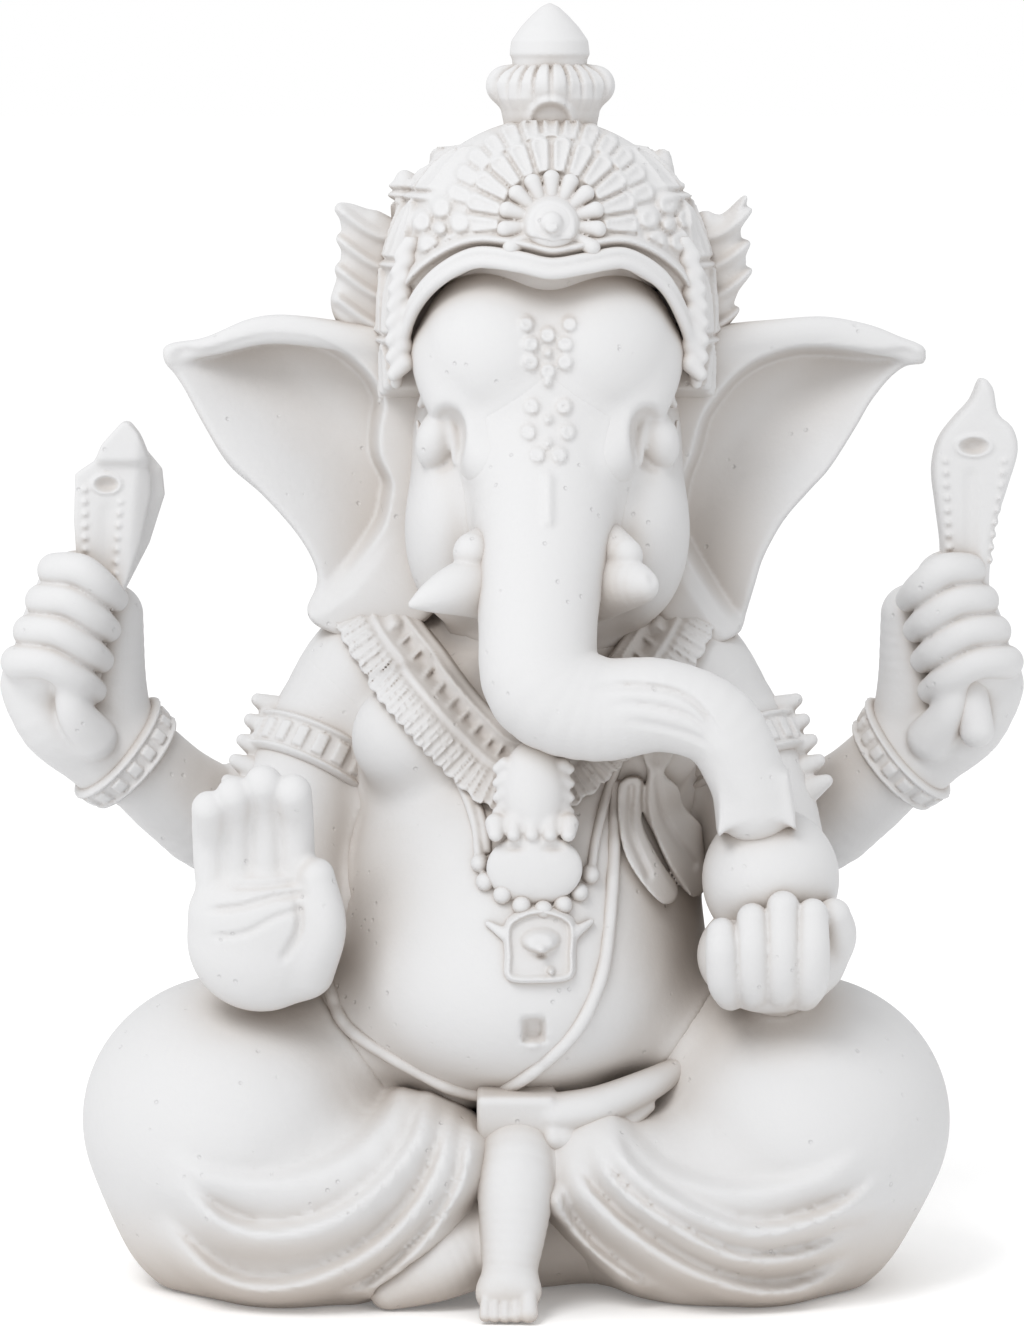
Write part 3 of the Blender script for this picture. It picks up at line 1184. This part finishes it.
def mace(clay):
    """A tapering club with a rounded head, a short spike and a beaded border down each side."""
    points = [(56.2, 107), (55, 104.4), (53.2, 102.4), (51.2, 99.6), (50.5, 96), (51, 91.6), (51.6, 87),
              (51.6, 83), (52, 77), (57, 77), (57.4, 83.6), (58, 89), (59.5, 94), (60.7, 98.4), (60, 101.2),
              (58.3, 102.8), (57.6, 106)]
    clay.add(plate(points, 1.4, 2.7, 1.2), 0)
    clay.roll([(54.6, 1.2, 84), (54.9, -0.4, 72), (55.9, -2, 64.8)], [2.5, 2.2, 2.1], 0.8)

    def face(x, z):
        out = 0
        for edge in (52.6, 57.4):
            lean = edge + np.clip(z - 84, 0, 30) * (-0.05 if edge < 55 else 0.12)
            out = out + 0.45 * beads(x - lean, z, 1.5, 0.62) * step_up(z, 98, 97) * step_up(z, 84, 85)
        groove = 0.3 * bump(x - 55, 1.4) * step_up(z, 97, 95) * step_up(z, 82, 85)
        return out + niche((x - 55.3) / 1.9, (z - 99) / 1.1, 0.8) - groove

    clay.press(face, 1.2)


def sweet(clay):
    clay.add(ball((30.2, -22.6, 49.8), (8, 8.2, 8.4)), 0)


sculpt("rear_right_attribute", (-55, -6, 60), (-39, 6, 103), FINER, axe)
sculpt("rear_left_attribute", (48, -7, 60), (63, 6, 109), FINER, mace)
sculpt("sweet", (19, -33, 40), (41, -10, 62), FINE, sweet)


# ---- Material, made from nodes ----
OPEN_WHITE = (0.585, 0.585, 0.59)
HALF_SHADED = (0.53, 0.50, 0.475)
DEEP_HOLLOW = (0.42, 0.37, 0.33)
HOLLOW_REACH = 0.014  # metres


def plaster():
    """Matte cast plaster: cool white in the open, warmer in the hollows, with pinholes and a faint grain."""
    material = bpy.data.materials.new("plaster")
    material.use_nodes = True
    nodes, links = material.node_tree.nodes, material.node_tree.links
    shader = nodes["Principled BSDF"]
    shader.inputs["Specular IOR Level"].default_value = 0.25
    place = nodes.new("ShaderNodeTexCoord").outputs["Object"]

    def node(kind, inputs, **settings):
        made = nodes.new(kind)
        for key, value in settings.items():
            setattr(made, key, value)
        for key, value in inputs.items():
            if isinstance(value, bpy.types.NodeSocket):
                links.new(value, made.inputs[key])
            else:
                made.inputs[key].default_value = value
        return made.outputs

    def maths(operation, *values):
        return node("ShaderNodeMath", dict(enumerate(values)), operation=operation)[0]

    def noise(scale, detail):
        return node("ShaderNodeTexNoise", {"Vector": place, "Scale": scale, "Detail": detail})["Fac"]

    def ramp(value, *stops):
        made = nodes.new("ShaderNodeValToRGB")
        elements = made.color_ramp.elements
        while len(elements) < len(stops):
            elements.new(0.5)
        for element, (position, colour) in zip(elements, stops):
            element.position = position
            element.color = (*colour, 1) if isinstance(colour, tuple) else (colour, colour, colour, 1)
        links.new(value, made.inputs["Fac"])
        return made.outputs["Color"]

    open_air = node("ShaderNodeAmbientOcclusion", {"Distance": HOLLOW_REACH}, samples=8)["AO"]
    clouds = maths("MULTIPLY_ADD", noise(90.0, 5.0), 0.16, -0.08)
    openness = maths("ADD", open_air, clouds)
    links.new(ramp(openness, (0.1, DEEP_HOLLOW), (0.5, HALF_SHADED), (0.9, OPEN_WHITE)),
              shader.inputs["Base Color"])

    cells = node("ShaderNodeTexVoronoi", {"Vector": place, "Scale": 520.0})["Distance"]
    away_from_hole = ramp(cells, (0.07, 0.0), (0.16, 1.0))
    in_patches = ramp(noise(160.0, 1.0), (0.56, 0.0), (0.62, 1.0))
    pinholes = maths("MULTIPLY", maths("SUBTRACT", 1.0, away_from_hole), in_patches)
    waves = noise(240.0, 3.0)
    relief = maths("MULTIPLY_ADD", noise(1400.0, 3.0), 0.25, waves)
    relief = maths("MULTIPLY_ADD", pinholes, -1.6, relief)
    normal = node("ShaderNodeBump", {"Height": relief, "Strength": 0.5, "Distance": 0.00022})["Normal"]
    links.new(normal, shader.inputs["Normal"])
    links.new(ramp(waves, (0.3, 0.72), (0.7, 0.9)), shader.inputs["Roughness"])
    return material


PLASTER = plaster()

for piece_name, corner_low, corner_high, grid_step, fill in PIECES:
    piece_clay = Clay(corner_low, corner_high, grid_step, piece_name)
    fill(piece_clay)
    finish_mesh(piece_name, piece_clay)


# ---- Floor, light and camera ----
FLOOR_HALF = 40.0  # metres: wide enough for the floor's edge to stay out of every view
KEY_PLACE = (-0.3, -0.5, 0.7)  # metres from the statue's foot: above, in front and to the left
KEY_AIM = (0, 0, 0.075)
KEY_SIZE = 0.35
KEY_WATTS = 3.3
LENS = 146.0
SENSOR = 36.0
CAMERA_RISE = math.radians(6)
CAMERA_AWAY = 650 * MM
CAMERA_TARGET = 72.49 * MM  # above the surface that the statue sits on


def aim(thing, place, target):
    thing.location = place
    thing.rotation_euler = (Vector(target) - Vector(place)).to_track_quat("-Z", "Y").to_euler()
    bpy.context.scene.collection.objects.link(thing)


def studio():
    """A white floor in a white room, with a little more light from above on the left."""
    mesh = bpy.data.meshes.new("floor")
    corners = [(x * FLOOR_HALF, y * FLOOR_HALF, cad_low.z) for x, y in ((-1, -1), (1, -1), (1, 1), (-1, 1))]
    mesh.from_pydata(corners, [], [(0, 1, 2, 3)])
    floor = bpy.data.objects.new("floor", mesh)
    bpy.context.scene.collection.objects.link(floor)
    paint = bpy.data.materials.new("floor_paint")
    paint.use_nodes = True
    shader = paint.node_tree.nodes["Principled BSDF"]
    shader.inputs["Base Color"].default_value = (0.93, 0.93, 0.93, 1)
    shader.inputs["Roughness"].default_value = 1.0
    shader.inputs["Specular IOR Level"].default_value = 0.0
    shader.inputs["Emission Color"].default_value = (1, 1, 1, 1)
    shader.inputs["Emission Strength"].default_value = 0.1
    mesh.materials.append(paint)
    world = bpy.data.worlds.new("studio")
    bpy.context.scene.world = world
    world.use_nodes = True
    world.node_tree.nodes["Background"].inputs["Color"].default_value = (1, 1, 1, 1)
    world.node_tree.nodes["Background"].inputs["Strength"].default_value = 1.0
    key = bpy.data.lights.new("key", "AREA")
    key.energy, key.size, key.color = KEY_WATTS, KEY_SIZE, (1, 1, 1)
    aim(bpy.data.objects.new("key", key), ORIGIN + Vector(KEY_PLACE), ORIGIN + Vector(KEY_AIM))


def camera():
    """Level with the chest, a little above it, far enough away for the gentle perspective of a long lens."""
    data = bpy.data.cameras.new("camera")
    data.lens = LENS
    data.sensor_width = SENSOR
    data.clip_start = 0.01
    view = bpy.data.objects.new("camera", data)
    target = ORIGIN + Vector((0, 0, CAMERA_TARGET))
    away = Vector((0, -math.cos(CAMERA_RISE), math.sin(CAMERA_RISE)))
    aim(view, target + CAMERA_AWAY * away, target)
    bpy.context.scene.camera = view


studio()
camera()
bpy.context.scene.view_settings.view_transform = "Standard"
